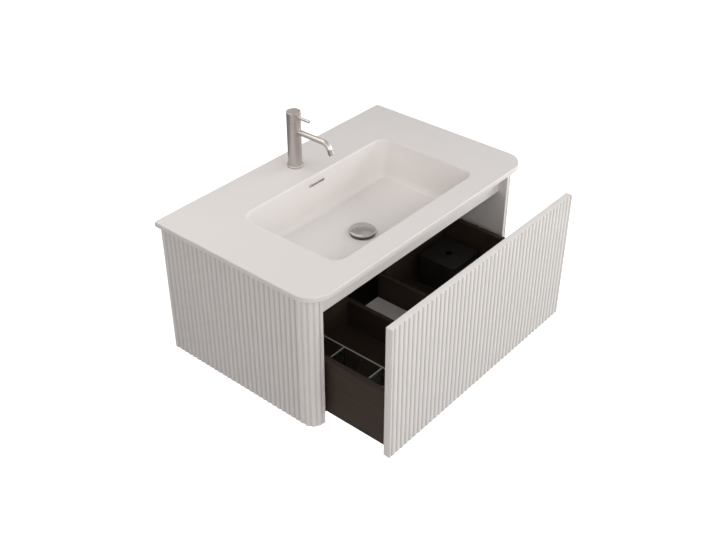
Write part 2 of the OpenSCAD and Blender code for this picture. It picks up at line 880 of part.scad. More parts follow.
block_screw_l = 34;
screw_head_d = 8;
screw_head_h = 3;
screw_play = 0.1;

// screw along +x: head, then shank; grown by `play` it is its own hole
module side_screw(play) {
    translate([0, block / 2, block / 2]) rotate([0, 90, 0]) {
        translate([0, 0, -play * 10])
            cylinder(d = screw_head_d + 2 * play, h = screw_head_h + play * 10);
        cylinder(d = block_screw_d + 2 * play, h = block_screw_l + play * 5);
    }
}

module corner_blocks() {
    color("whitesmoke") at_blocks() difference() {
        cube(block);
        side_screw(screw_play);
    }
}

module corner_screws() {
    color(zinc) at_blocks() side_screw(0);
}

bumper_d = 9;

module bumpers() {
    h = front_gap - seat - 0.2;
    color("lightgray") for (sx = [-1, 1]) {
        translate([sx * open_half * 0.85, y_rail, cab_top - front_rail_h / 2])
            rotate([90, 0, 0]) cylinder(d = bumper_d, h = h);
        translate([sx * open_half * 0.85, y_rail, cab_bottom + bottom_t / 2])
            rotate([90, 0, 0]) cylinder(d = bumper_d, h = h);
    }
}

// ---------- drawer ----------
module drawer_front() {
    color(board_white) difference() {
        translate([front_half, y_box, front_bottom])
            rotate([0, 0, 180]) linear_extrude(front_top - front_bottom)
                reeded_plan(2 * front_half, front_t - reed_h, 0);
        bracket_fixing(screw_play);
    }
}

edge_r = 2.5;

module drawer_side(left) {
    color(umber) mirrored(left) difference() {
        translate([inner_half, y_box_end, box_bottom])
            rotate([90, 0, 0]) linear_extrude(box_l) {
                square([box_t, box_h - edge_r]);
                translate([edge_r, 0]) square([box_t - 2 * edge_r, box_h]);
                for (x = [edge_r, box_t - edge_r])
                    translate([x, box_h - edge_r]) circle(r = edge_r);
            }
        bracket_fixing(screw_play);
    }
}

module drawer_side_left() { drawer_side(true); }
module drawer_side_right() { drawer_side(false); }

module drawer_back(left) {
    x0 = bay_half + bay_t;
    color(umber) mirrored(left) translate([x0, y_box_end - box_t, floor_top])
        cube([inner_half - x0, box_t, box_top - floor_top]);
}

module drawer_back_left() { drawer_back(true); }
module drawer_back_right() { drawer_back(false); }

module drawer_floor() {
    color(umber) translate([-inner_half, y_box, floor_top - floor_t])
        cube([2 * inner_half, box_l, floor_t]);
}

module bay_wall(left) {
    color(umber) mirrored(left) translate([bay_half, y_box, floor_top])
        cube([bay_t, box_l, bay_h]);
}

module bay_wall_left() { bay_wall(true); }
module bay_wall_right() { bay_wall(false); }

mat_t = 1.5;
mat_ribs = 30;

module bay_mat() {
    w = bay_w - 1;
    rib = w / mat_ribs;
    color([0.62, 0.61, 0.59]) translate([-w / 2, y_box + 1, floor_top]) {
        cube([w, box_l - 2, mat_t - 0.5]);
        for (i = [0:mat_ribs - 1]) translate([(i + 0.2) * rib, 0, mat_t - 0.5 - eps])
            cube([rib * 0.6, box_l - 2, 0.5]);
    }
}

bracket_l = 28;
bracket_t = 2;
bracket_h = 70;
bracket_z = box_top - bracket_h - 3;

// steel angle in each front corner of the drawer box
module at_brackets() {
    for (sx = [0, 1]) mirror([sx, 0, 0]) translate([inner_half, y_box, bracket_z]) children();
}

bracket_screw_d = 3.8;
bracket_screw_l = 12;

// eight screws, each with its head on the bracket and its shank in side or front
module bracket_fixing(play) {
    at_brackets() for (z = [15, bracket_h - 15]) {
        translate([-bracket_t, bracket_l - 10, z]) rotate([0, 90, 0]) {
            translate([0, 0, -2]) cylinder(d1 = 5, d2 = 8, h = 2);
            cylinder(d = bracket_screw_d + 2 * play, h = bracket_screw_l + play * 5);
        }
        translate([-bracket_l + 10, bracket_t, z]) rotate([90, 0, 0]) {
            translate([0, 0, -2]) cylinder(d1 = 5, d2 = 8, h = 2);
            cylinder(d = bracket_screw_d + 2 * play, h = bracket_screw_l + play * 5);
        }
    }
}

module front_brackets() {
    color(zinc) difference() {
        at_brackets() {
            translate([-bracket_t, 0, 0]) cube([bracket_t, bracket_l, bracket_h]);
            translate([-bracket_l, 0, 0]) cube([bracket_l, bracket_t, bracket_h]);
        }
        bracket_fixing(screw_play);
    }
}

module bracket_screws() {
    color(zinc) bracket_fixing(0);
}

long_x = -(inner_half - divider_x);
pane_top = box_top - 1;
pane_gap = 0.2;
inner_l = box_l - box_t;
cross_y = [for (i = [0:floor((inner_l - divider_first - 10) / divider_pitch)])
    y_box + divider_first + i * divider_pitch];

holder_h = 90;
holder_t = 1.5;
holder_l = 7;
pane_in = holder_t + pane_gap;

module long_divider() {
    color(glass_green) translate([long_x, y_box + pane_in, floor_top])
        cube([glass_t, inner_l - 2 * pane_in, pane_top - floor_top]);
}

module cross_dividers() {
    color(glass_green) for (y = cross_y)
        translate([-inner_half + pane_in, y, floor_top])
            cube([divider_x - pane_in - pane_gap, glass_t, pane_top - floor_top]);
}

// channel that grips a pane's end: web at y = 0, arms along +y
module holder() {
    arm = glass_t + 2 * pane_gap;
    difference() {
        translate([-arm / 2 - holder_t, 0, 0]) cube([arm + 2 * holder_t, holder_l, holder_h]);
        translate([-arm / 2, holder_t, -1]) cube([arm, holder_l, holder_h + 2]);
    }
}

module divider_holders() {
    mid = long_x + glass_t / 2;
    color(zinc) {
        translate([mid, y_box, floor_top]) holder();
        translate([mid, y_box + inner_l, floor_top]) mirror([0, 1, 0]) holder();
        for (y = cross_y) translate([-inner_half, y + glass_t / 2, floor_top])
            rotate([0, 0, -90]) holder();
    }
}

// ---------- lidded box ----------
tidy_x = inner_half - tidy_side_gap - tidy_w;
tidy_y = y_box + inner_l - tidy_back_gap - tidy_d;
tidy_r = 12;
lid_t = 3;
lip_h = 3;

module tidy_plan(inset) {
    r = tidy_r - inset;
    w = tidy_w - 2 * inset;
    d = tidy_d - 2 * inset;
    translate([tidy_x + inset, tidy_y + inset]) {
        translate([r, 0]) square([w - 2 * r, d]);
        translate([0, r]) square([w, d - 2 * r]);
        for (x = [r, w - r], y = [r, d - r]) translate([x, y]) circle(r = r);
    }
}

module tidy_box() {
    color(dark_plastic) translate([0, 0, floor_top]) difference() {
        linear_extrude(tidy_h) tidy_plan(0);
        translate([0, 0, tidy_wall]) linear_extrude(tidy_h) tidy_plan(tidy_wall);
    }
}

module tidy_lid() {
    lid_z = floor_top + tidy_h + seat;
    color(dark_plastic) difference() {
        union() {
            translate([0, 0, lid_z]) linear_extrude(lid_t) tidy_plan(0);
            translate([0, 0, lid_z - lip_h]) linear_extrude(lip_h + eps)
                tidy_plan(tidy_wall + 0.4);
        }
        translate([0, 0, lid_z - lip_h - 1]) linear_extrude(lip_h + 1)
            tidy_plan(tidy_wall + 2.4);
        translate([tidy_x + tidy_w / 2, tidy_y + tidy_d / 2, lid_z - 5])
            cylinder(d = finger_dia, h = lid_t + 10);
    }
}

// ---------- runners ----------
runner_l = box_l - 4;
runner_y_cabinet = y_carcass;
runner_y_drawer = y_box + 2;
runner_y_middle = (runner_y_cabinet + runner_y_drawer) / 2;
runner_x = inner_half - seat - runner_w;
runner_space = floor_under - panel_top;
nest = runner_t + runner_gap;
flange_hole = 5;

// steel channel lying along y, centred on x = 0 with its web at z = 0, open upwards
module channel(w, h, l) {
    translate([-w / 2, 0, 0]) {
        cube([w, l, runner_t]);
        for (x = [0, w - runner_t]) translate([x, 0, 0]) cube([runner_t, l, h]);
    }
}

module at_runner(left, y, z) {
    color(zinc) mirrored(left) translate([runner_x + runner_w / 2, y, z]) children();
}

// lies on the bottom panel, with a foot under the drawer side and a flange up the carcass side
module runner_cabinet(left) {
    reach = open_half - runner_x - runner_w / 2;
    at_runner(left, runner_y_cabinet, panel_top) {
        channel(runner_w, runner_space - nest, runner_l);
        cube([reach, runner_l, runner_t]);
        difference() {
            translate([reach - runner_t, 0, 0]) cube([runner_t, runner_l, flange_h]);
            for (y = [runner_l * 0.1, runner_l * 0.5, runner_l * 0.9])
                translate([reach - runner_t - 1, y, flange_h * 0.6]) rotate([0, 90, 0])
                    cylinder(d = flange_hole, h = runner_t + 2);
        }
    }
}

module runner_middle(left) {
    at_runner(left, runner_y_middle, panel_top + nest)
        channel(runner_w - 2 * nest, runner_space - 2 * nest - runner_t, runner_l);
}

module runner_drawer(left) {
    at_runner(left, runner_y_drawer, floor_under) mirror([0, 0, 1])
        channel(runner_w - 4 * nest, runner_space - 2 * nest, runner_l);
}

module runner_cabinet_left() { runner_cabinet(true); }
module runner_cabinet_right() { runner_cabinet(false); }
module runner_middle_left() { runner_middle(true); }
module runner_middle_right() { runner_middle(false); }
module runner_drawer_left() { runner_drawer(true); }
module runner_drawer_right() { runner_drawer(false); }

basin_top();
overflow_trim();
waste_body();
waste_cap();
waste_stem();
waste_gasket();
waste_nut();
waste_coupling();
waste_tail();
tap_foot();
tap_body();
tap_spout();
tap_aerator();
tap_cartridge();
tap_ring();
tap_stem();
tap_cap();
tap_lever();
tap_shank();
tap_tails();
tap_washer();
tap_nut();
carcass_side_left();
carcass_side_right();
cladding_left();
cladding_right();
post_left();
post_right();
bottom_panel();
front_rail();
back_rail_upper();
back_rail_lower();
back_panel();
fixing_plates();
corner_blocks();
corner_screws();
bumpers();
drawer_front();
drawer_side_left();
drawer_side_right();
drawer_back_left();
drawer_back_right();
drawer_floor();
bay_wall_left();
bay_wall_right();
bay_mat();
front_brackets();
bracket_screws();
long_divider();
cross_dividers();
divider_holders();
tidy_box();
tidy_lid();
runner_cabinet_left();
runner_middle_left();
runner_drawer_left();
runner_cabinet_right();
runner_middle_right();
runner_drawer_right();
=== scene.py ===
"""Looks of a wall-hung vanity: moulded basin top, pillar tap, reeded cabinet and open drawer.

Each sub-assembly is a class whose fields are sizes in metres. Its pieces are surfaces worked
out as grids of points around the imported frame, in the frame's own coordinates: X along the
wall, the front towards -Y and Z up.
"""

from __future__ import annotations

import json
import logging
import math
from dataclasses import dataclass
from enum import Enum
from typing import Protocol

import bpy
import numpy as np
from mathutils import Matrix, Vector
from mathutils.geometry import convex_hull_2d


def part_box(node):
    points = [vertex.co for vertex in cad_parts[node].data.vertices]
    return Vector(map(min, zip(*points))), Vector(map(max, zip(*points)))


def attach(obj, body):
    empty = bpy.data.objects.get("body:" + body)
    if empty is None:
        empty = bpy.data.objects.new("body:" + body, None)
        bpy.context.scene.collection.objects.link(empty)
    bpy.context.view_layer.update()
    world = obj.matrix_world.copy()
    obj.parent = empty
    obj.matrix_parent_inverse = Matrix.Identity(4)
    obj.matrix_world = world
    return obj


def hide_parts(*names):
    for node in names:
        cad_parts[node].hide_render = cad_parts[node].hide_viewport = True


LOG = logging.getLogger("vanity")
MM = 0.001
SHARP_ANGLE = 32.0  # degrees above which an edge is shaded sharp
BEVEL_ANGLE = 40.0  # degrees above which an edge is broken
DECIMALS = 6  # of a metre, to which points that coincide are rounded
ARC_STEPS = 6  # points on a rounded corner of a profile
TURN_STEPS = 96  # points round a turned piece
# The groove attribute carries painted shade: how much darker the lacquer is painted down in a
# groove.
GROOVE_SHADE = "groove_shade"  # point attribute that paint_groove_shade writes and the lacquer reads

Colour = tuple[float, float, float]
Socket = bpy.types.NodeSocket
Value = float | tuple[float, ...] | Socket

WARM_WHITE = (1.034, 1.0, 0.978)
NICKEL = (0.58, 0.545, 0.515)

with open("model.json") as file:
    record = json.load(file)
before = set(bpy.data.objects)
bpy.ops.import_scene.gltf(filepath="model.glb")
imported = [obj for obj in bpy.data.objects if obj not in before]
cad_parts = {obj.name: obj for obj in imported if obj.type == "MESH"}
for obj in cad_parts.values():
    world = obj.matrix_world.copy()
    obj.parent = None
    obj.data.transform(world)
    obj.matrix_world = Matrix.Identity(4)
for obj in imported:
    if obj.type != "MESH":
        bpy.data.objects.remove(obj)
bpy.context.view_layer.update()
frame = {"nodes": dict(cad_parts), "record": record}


def shade(colour: Colour, factor: float) -> Colour:
    """A colour multiplied by a factor."""
    return tuple(c * factor for c in colour)


# ---------------------------------------------------------------- finishes
#
# A finish's tones are factors on its colour in the darker parts of its patterns, and the
# lacquer's groove tone is painted shade down in the grooves. Smooth and rough are the ends of
# its roughness, and a relief is the height of a pattern in metres.


class Nodes:
    """Node tree of a material or a world, with short calls to fill it."""

    def __init__(self, owner: bpy.types.Material | bpy.types.World) -> None:
        """Empties the owner's tree.

        Args:
            owner: the material or the world.
        """
        owner.use_nodes = True
        self.tree = owner.node_tree
        self.tree.nodes.clear()

    def fill(self, node: bpy.types.Node, *ordered: Value, **named: Value) -> None:
        """Sets plain values on a node's inputs and links outputs to them.

        Args:
            node: the node.
            ordered: values or outputs for its first inputs, in their order.
            named: the same by input name, with _ for each space.
        """
        spaced = {name.replace("_", " "): value for name, value in named.items()}
        for key, value in (*enumerate(ordered), *spaced.items()):
            if isinstance(value, Socket):
                self.tree.links.new(value, node.inputs[key])
            else:
                node.inputs[key].default_value = value

    def add(self, kind: str, *ordered: Value, **named: Value) -> bpy.types.Node:
        """Adds a node and fills its inputs.

        Args:
            kind: the node's type.
            ordered: values or outputs for its first inputs, in their order.
            named: the same by input name, with _ for each space.

        Returns:
            The node.
        """
        node = self.tree.nodes.new(kind)
        self.fill(node, *ordered, **named)
        return node

    def span(
        self,
        value: Socket,
        low: float,
        high: float,
        start: float = 0.3,
        end: float = 0.7,
    ) -> Socket:
        """Maps a value from start ... end to low ... high, clamped.

        Args:
            value: the value.
            low: result at the start and below.
            high: result at the end and above.
            start: lower end of the value's range, by default that of noise.
            end: upper end of it.

        Returns:
            The value output.
        """
        node = self.add(
            "ShaderNodeMapRange",
            Value=value,
            From_Min=start,
            From_Max=end,
            To_Min=low,
            To_Max=high,
        )
        return node.outputs["Result"]


class NodeSheet(Nodes):
    """Nodes of one material round its Principled shader."""

    def __init__(self, name: str) -> None:
        """Starts a material with a Principled shader on its output.

        Args:
            name: name of the material.
        """
        self.material = bpy.data.materials.new(name)
        super().__init__(self.material)
        self.shader = self.add("ShaderNodeBsdfPrincipled")
        self.output = self.add(
            "ShaderNodeOutputMaterial", Surface=self.shader.outputs["BSDF"]
        )
        self.coords = self.add("ShaderNodeTexCoord").outputs["Object"]

    def constants(self, **values: float | tuple[float, ...]) -> None:
        """Sets plain values on the shader's own sockets, with _ for each space."""
        self.fill(self.shader, **values)

    def surface(self, colour: Socket, roughness: Socket) -> None:
        """Puts a colour and a roughness output on the shader."""
        self.fill(self.shader, Base_Color=colour, Roughness=roughness)

    def stretched(self, x: float, y: float, z: float) -> Socket:
        """Object coordinates multiplied by a factor along each axis.

        Args:
            x: factor along X.
            y: factor along Y.
            z: factor along Z.

        Returns:
            The vector output.
        """
        node = self.add("ShaderNodeMapping", Vector=self.coords, Scale=(x, y, z))
        return node.outputs["Vector"]

    def noise(
        self,
        scale: float,
        detail: float = 2.0,
        roughness: float = 0.5,
        vector: Socket | None = None,
    ) -> Socket:
        """Fractal noise, near 0.5 on average.

        Args:
            scale: features per metre of the vector.
            detail: octaves.
            roughness: share that each octave keeps.
            vector: coordinates, or None for Object coordinates.

        Returns:
            The value output.
        """
        node = self.add(
            "ShaderNodeTexNoise",
            Vector=vector or self.coords,
            Scale=scale,
            Detail=detail,
            Roughness=roughness,
        )
        return node.outputs["Fac"]

    def cells(self, scale: float) -> Socket:
        """Random grey of the nearest cell of a Voronoi pattern.

        Args:
            scale: cells per metre.

        Returns:
            The value output.
        """
        cells = self.add("ShaderNodeTexVoronoi", Vector=self.coords, Scale=scale)
        split = self.add("ShaderNodeSeparateColor", Color=cells.outputs["Color"])
        return split.outputs["Red"]

    def blend(self, share: Socket, first: Colour | Socket, second: Colour) -> Socket:
        """Mixes two colours.

        Args:
            share: 0 gives the first colour and 1 the second.
            first: a colour, or a colour output.
            second: a colour.

        Returns:
            The colour output.
        """
        node = self.add("ShaderNodeMix")
        node.data_type = "RGBA"
        base = (*first, 1.0) if isinstance(first, tuple) else first
        self.fill(node, Factor=share, A=base, B=(*second, 1.0))
        return node.outputs["Result"]

    def veil(
        self, noise: Socket, most: float, first: Colour | Socket, second: Colour
    ) -> Socket:
        """Lays a second colour over a first, by a share that rises with the noise.

        Args:
            noise: the noise.
            most: share of the second colour where the noise is high.
            first: a colour, or a colour output.
            second: a colour.

        Returns:
            The colour output.
        """
        return self.blend(self.span(noise, 0.0, most), first, second)

    def bump(self, *layers: tuple[Socket, float, float]) -> None:
        """Stacks bump layers and puts them on the shader.

        Args:
            layers: height output, strength and height in metres of each layer.
        """
        normal = {}
        for height, strength, distance in layers:
            node = self.add(
                "ShaderNodeBump",
                Height=height,
                Strength=strength,
                Distance=distance,
                **normal,
            )
            normal = {"Normal": node.outputs["Normal"]}
        self.fill(self.shader, **normal)

    def divide(
        self, share: Socket, first: bpy.types.Node, second: bpy.types.Node
    ) -> None:
        """Shows one shader where a share is 0, and another one where it is 1.

        Args:
            share: the share.
            first: shader node for 0.
            second: shader node for 1.
        """
        mix = self.add("ShaderNodeMixShader", share, first.outputs[0], second.outputs[0])
        self.fill(self.output, Surface=mix.outputs[0])


class Finish(Protocol):
    """What the wardrobe needs of a finish."""

    @property
    def name(self) -> str:
        """The material's name."""

    def material(self) -> bpy.types.Material:
        """Makes the material."""


@dataclass(frozen=True)
class SolidSurface:
    """Cast mineral material, sanded to a satin face."""

    name: str = "solid_surface"
    colour: Colour = shade(WARM_WHITE, 0.80)
    cloud_tone: float = 0.985
    fleck_tone: float = 0.94
    smooth: float = 0.46
    rough: float = 0.56
    relief: float = 0.04 * MM

    def material(self) -> bpy.types.Material:
        """Soft clouds and a fine fleck in the colour, sanding haze in the roughness.

        Returns:
            The material.
        """
        sheet = NodeSheet(self.name)
        clouds = sheet.noise(scale=7.0, detail=4.0, roughness=0.6)
        fleck = sheet.noise(scale=1400.0, roughness=0.6)
        haze = sheet.noise(scale=60.0, detail=5.0, roughness=0.65)
        cast = sheet.veil(clouds, 1.0, shade(self.colour, self.cloud_tone), self.colour)
        cast = sheet.veil(fleck, 0.35, cast, shade(self.colour, self.fleck_tone))
        sheet.surface(cast, sheet.span(haze, self.smooth, self.rough))
        sheet.constants(IOR=1.48, Specular_IOR_Level=0.3)
        sheet.bump((fleck, 0.06, self.relief))
        return sheet.material


@dataclass(frozen=True)
class SprayedLacquer:
    """Matt lacquer sprayed on fine fibre board, with shade painted darker down in the
    grooves.
    """

    name: str = "white_lacquer"
    colour: Colour = shade(WARM_WHITE, 0.80)
    drift_tone: float = 0.985
    peel_tone: float = 0.97
    # factor on the colour at the bottom of a groove: painted shade
    groove_tone: float = 0.64
    smooth: float = 0.50
    rough: float = 0.60
    relief: float = 0.04 * MM

    def material(self) -> bpy.types.Material:
        """Slow drift in the colour, painted shade down in the grooves, and the spray's orange
        peel in the relief.

        Returns:
            The material.
        """
        sheet = NodeSheet(self.name)
        drift = sheet.noise(scale=4.0, detail=3.0)
        peel = sheet.noise(scale=900.0, roughness=0.45)
        # Painted shade: the colour darkens down in the grooves, by the attribute that the
        # reeded pieces write.
        groove_shade = sheet.add("ShaderNodeAttribute")
        groove_shade.attribute_name = GROOVE_SHADE
        coat = sheet.veil(drift, 1.0, shade(self.colour, self.drift_tone), self.colour)
        coat = sheet.veil(peel, 0.2, coat, shade(self.colour, self.peel_tone))
        coat = sheet.blend(
            groove_shade.outputs["Fac"], coat, shade(self.colour, self.groove_tone)
        )
        sheet.surface(coat, sheet.span(peel, self.smooth, self.rough))
        sheet.constants(IOR=1.48, Specular_IOR_Level=0.3)
        sheet.bump((peel, 0.05, self.relief))
        return sheet.material


@dataclass(frozen=True)
class BrushedMetal:
    """Plated or turned metal whose fine lines run level, round the vertical.

    along and across are the pattern's features per metre, on the level and upwards.
    """

    name: str
    colour: Colour
    smooth: float = 0.26
    rough: float = 0.40
    along: float = 14.0
    across: float = 2600.0
    line_tone: float = 0.86
    haze_tone: float = 0.9
    relief: float = 0.04 * MM

    def material(self) -> bpy.types.Material:
        """Lines that are long on the level and short upwards, in colour and roughness.

        Returns:
            The material.
        """
        sheet = NodeSheet(self.name)
        brushed = sheet.stretched(self.along, self.along, self.across)
        lines = sheet.noise(scale=1.0, detail=4.0, roughness=0.7, vector=brushed)
        haze = sheet.noise(scale=45.0, detail=3.0, roughness=0.55)
        tone = sheet.veil(lines, 1.0, shade(self.colour, self.line_tone), self.colour)
        tone = sheet.veil(haze, 0.3, tone, shade(self.colour, self.haze_tone))
        sheet.surface(tone, sheet.span(lines, self.smooth, self.rough))
        sheet.constants(Metallic=1.0)
        sheet.bump((lines, 0.07, self.relief))
        return sheet.material


@dataclass(frozen=True)
class PlatedSteel:
    """Zinc-plated pressed steel with a faint spangle."""

    name: str = "zinc_steel"
    colour: Colour = (0.50, 0.50, 0.51)
    crystal_tone: float = 0.82
    rolled_tone: float = 0.75
    smooth: float = 0.30
    rough: float = 0.48
    relief: float = 0.06 * MM

    def material(self) -> bpy.types.Material:
        """Small crystals of slightly different greys under a rolled grain.

        Returns:
            The material.
        """
        sheet = NodeSheet(self.name)
        crystals = sheet.cells(scale=260.0)
        drawn = sheet.stretched(30.0, 1.0, 30.0)
        rolled = sheet.noise(scale=30.0, detail=4.0, roughness=0.6, vector=drawn)
        tone = sheet.blend(crystals, shade(self.colour, self.crystal_tone), self.colour)
        tone = sheet.veil(rolled, 0.4, tone, shade(self.colour, self.rolled_tone))
        sheet.surface(tone, sheet.span(rolled, self.smooth, self.rough))
        sheet.constants(Metallic=1.0)
        sheet.bump((rolled, 0.08, self.relief))
        return sheet.material


@dataclass(frozen=True)
class UmberBoard:
    """Drawer board in dark matt foil with a fine grain along Y."""

    name: str = "umber_board"
    light: Colour = (0.062, 0.045, 0.035)
    dark: Colour = (0.042, 0.029, 0.022)
    pore_tone: float = 0.7
    smooth: float = 0.42
    rough: float = 0.56
    pore_relief: float = 0.08 * MM
    streak_relief: float = 0.1 * MM

    def material(self) -> bpy.types.Material:
        """Long streaks of two umbers with short pores, embossed into the foil.

        Returns:
            The material.
        """
        sheet = NodeSheet(self.name)
        grain = sheet.stretched(22.0, 1.2, 22.0)
        fine = sheet.stretched(30.0, 2.0, 30.0)
        streaks = sheet.noise(scale=9.0, detail=5.0, roughness=0.6, vector=grain)
        pores = sheet.noise(scale=60.0, vector=fine)
        tone = sheet.veil(streaks, 1.0, self.dark, self.light)
        tone = sheet.veil(pores, 0.5, tone, shade(self.dark, self.pore_tone))
        sheet.surface(tone, sheet.span(streaks, self.smooth, self.rough))
        sheet.constants(Specular_IOR_Level=0.12)
        sheet.bump((pores, 0.15, self.pore_relief), (streaks, 0.06, self.streak_relief))
        return sheet.material


@dataclass(frozen=True)
class Moulded:
    """Moulded plastic or rubber with a spark-eroded grain."""

    name: str
    colour: Colour
    smooth: float = 0.42
    rough: float = 0.55
    grain: float = 900.0
    flow_tone: float = 0.88
    grain_tone: float = 0.78
    relief: float = 0.06 * MM

    def material(self) -> bpy.types.Material:
        """Fine grain in relief and roughness, and flow clouds in the colour.

        Returns:
            The material.
        """
        sheet = NodeSheet(self.name)
        grain = sheet.noise(scale=self.grain, roughness=0.6)
        flow = sheet.noise(scale=18.0, detail=3.0)
        tone = sheet.veil(flow, 1.0, shade(self.colour, self.flow_tone), self.colour)
        tone = sheet.veil(grain, 0.3, tone, shade(self.colour, self.grain_tone))
        sheet.surface(tone, sheet.span(grain, self.smooth, self.rough))
        sheet.bump((grain, 0.22, self.relief))
        return sheet.material


@dataclass(frozen=True)
class FloatGlass:
    """Clear float glass whose upper edges are ground and look frosted."""

    name: str = "glass"
    tint: Colour = (0.80, 0.90, 0.86)
    ground: Colour = (0.24, 0.25, 0.235)
    wipe_tone: float = 0.93
    scratch_tone: float = 0.85
    smooth: float = 0.01
    rough: float = 0.07
    frosted: float = 0.5
    relief: float = 0.2 * MM
    frost_from: float = 0.5
    frost_full: float = 0.8

    def material(self) -> bpy.types.Material:
        """Transmission with a few wipe marks, and frosted where the normal points up.

        Returns:
            The material.
        """
        sheet = NodeSheet(self.name)
        smeared = sheet.stretched(1.0, 1.0, 3.0)
        wipes = sheet.noise(scale=12.0, detail=5.0, roughness=0.7, vector=smeared)
        tone = sheet.veil(wipes, 0.4, self.tint, shade(self.tint, self.wipe_tone))
        sheet.surface(tone, sheet.span(wipes, self.smooth, self.rough))
        sheet.constants(Transmission_Weight=1.0, IOR=1.51)
        sheet.bump((sheet.noise(scale=25.0, detail=1.0), 0.02, self.relief))
        scratches = sheet.noise(scale=700.0, detail=3.0, roughness=0.6)
        frost = sheet.add(
            "ShaderNodeBsdfPrincipled",
            Roughness=self.frosted,
            Base_Color=sheet.blend(
                scratches, shade(self.ground, self.scratch_tone), self.ground
            ),
        )
        facing = sheet.add("ShaderNodeTexCoord").outputs["Normal"]
        upwards = sheet.add("ShaderNodeSeparateXYZ", Vector=facing).outputs["Z"]
        share = sheet.span(upwards, 0.0, 1.0, self.frost_from, self.frost_full)
        sheet.divide(share, sheet.shader, frost)
        return sheet.material


# Finishes of single pieces, which differ from the finish of their slot.
# Near-black copy of the umber board for the cabinet's inside panels: painted shade for the
# dark inside of the cabinet.
PAINTED_SHADE_BOARD = UmberBoard(
    "umber_painted_shade", light=(0.016, 0.013, 0.011), dark=(0.010, 0.008, 0.007)
)
CAP_METAL = BrushedMetal("polished_cap", NICKEL, smooth=0.14, rough=0.24)
RING_METAL = BrushedMetal("polished_ring", (0.86, 0.84, 0.82), smooth=0.3, rough=0.4)
# Darker copy of the nickel for the aerator: painted shade for the spout's dark tip.
PAINTED_SHADE_END_METAL = BrushedMetal("spout_end_painted_shade", (0.30, 0.28, 0.26), smooth=0.34, rough=0.46)


class Slot(Enum):
    """Material slots of the record, each with its finish."""

    solid_surface = SolidSurface()
    brushed_nickel = BrushedMetal("brushed_nickel", NICKEL)
    stem_metal = BrushedMetal("stem_metal", (0.55, 0.55, 0.55), smooth=0.2, rough=0.3)
    brass = BrushedMetal("brass", (0.62, 0.44, 0.18), smooth=0.22, rough=0.34)
    copper = BrushedMetal("copper", (0.66, 0.33, 0.20), smooth=0.24, rough=0.36)
    seal_rubber = Moulded("seal_rubber", (0.03, 0.03, 0.03), smooth=0.65, rough=0.85)
    ceramic_plastic = Moulded("ceramic_plastic", (0.72, 0.70, 0.64))
    white_lacquer = SprayedLacquer()
    white_plastic = Moulded("white_plastic", (0.76, 0.76, 0.75))
    zinc_steel = PlatedSteel()
    umber_board = UmberBoard()
    mat_grey = Moulded("mat_grey", (0.84, 0.81, 0.785), smooth=0.6, rough=0.8, grain=700.0)
    glass = FloatGlass()
    dark_plastic = Moulded("dark_plastic", (0.018, 0.018, 0.016), smooth=0.38, rough=0.52)


class Wardrobe:
    """Makes each finish once and puts it on pieces."""

    def __init__(self) -> None:
        """Starts with no finish made."""
        self.made: dict[str, bpy.types.Material] = {}

    def material(self, finish: Finish) -> bpy.types.Material:
        """The finish's material, made on its first use.

        Args:
            finish: the finish.

        Returns:
            The material.
        """
        if finish.name not in self.made:
            self.made[finish.name] = finish.material()
        return self.made[finish.name]

    def dress(self, obj: bpy.types.Object, finish: Finish) -> None:
        """Puts a finish on every material slot of an object.

        Args:
            obj: the piece.
            finish: the finish.
        """
        material = self.material(finish)
        if not obj.data.materials:
            obj.data.materials.append(material)
        for slot in obj.material_slots:
            slot.material = material

    def dress_frame(self) -> None:
        """Gives each CAD node the finish of its slot in the record."""
        for node, slot in SLOT_OF.items():
            self.dress(frame["nodes"][node], Slot[slot].value)


WARDROBE = Wardrobe()
SLOT_OF = {row["node"]: row["material_slot"] for row in frame["record"]["subparts"]}
BODY_OF = {
    node: body
    for body, nodes in frame["record"]["behaviour"]["bodies"].items()
    for node in nodes
}


# ---------------------------------------------------------------- surfaces


def place(
    name: str, data: bpy.types.Mesh | bpy.types.Light | bpy.types.Camera
) -> bpy.types.Object:
    """Makes an object and links it to the scene.

    Args:
        name: the object's name.
        data: its mesh, light or camera.

    Returns:
        The object.
    """
    obj = bpy.data.objects.new(name, data)
    bpy.context.scene.collection.objects.link(obj)
    return obj


def finish_mesh(name: str, mesh: bpy.types.Mesh) -> bpy.types.Object:
    """Shades a mesh smooth between its sharp edges and makes its object.

    Args:
        name: the object's name.
        mesh: the mesh.

    Returns:
        The object, linked to the scene.
    """
    mesh.polygons.foreach_set("use_smooth", np.ones(len(mesh.polygons), bool))
    mesh.set_sharp_from_angle(angle=math.radians(SHARP_ANGLE))
    mesh.validate()
    return place(name, mesh)


def mesh_points(mesh: bpy.types.Mesh) -> np.ndarray:
    """Points of a mesh in single precision.

    Args:
        mesh: the mesh.

    Returns:
        Points of shape (points, 3).
    """
    points = np.empty(len(mesh.vertices) * 3, np.float32)
    mesh.vertices.foreach_get("co", points)
    return points.reshape(-1, 3)


def node_box(node: str) -> tuple[np.ndarray, np.ndarray]:
    """Lowest and highest corner of a CAD node at rest."""
    low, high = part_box(node)
    return np.array(low), np.array(high)


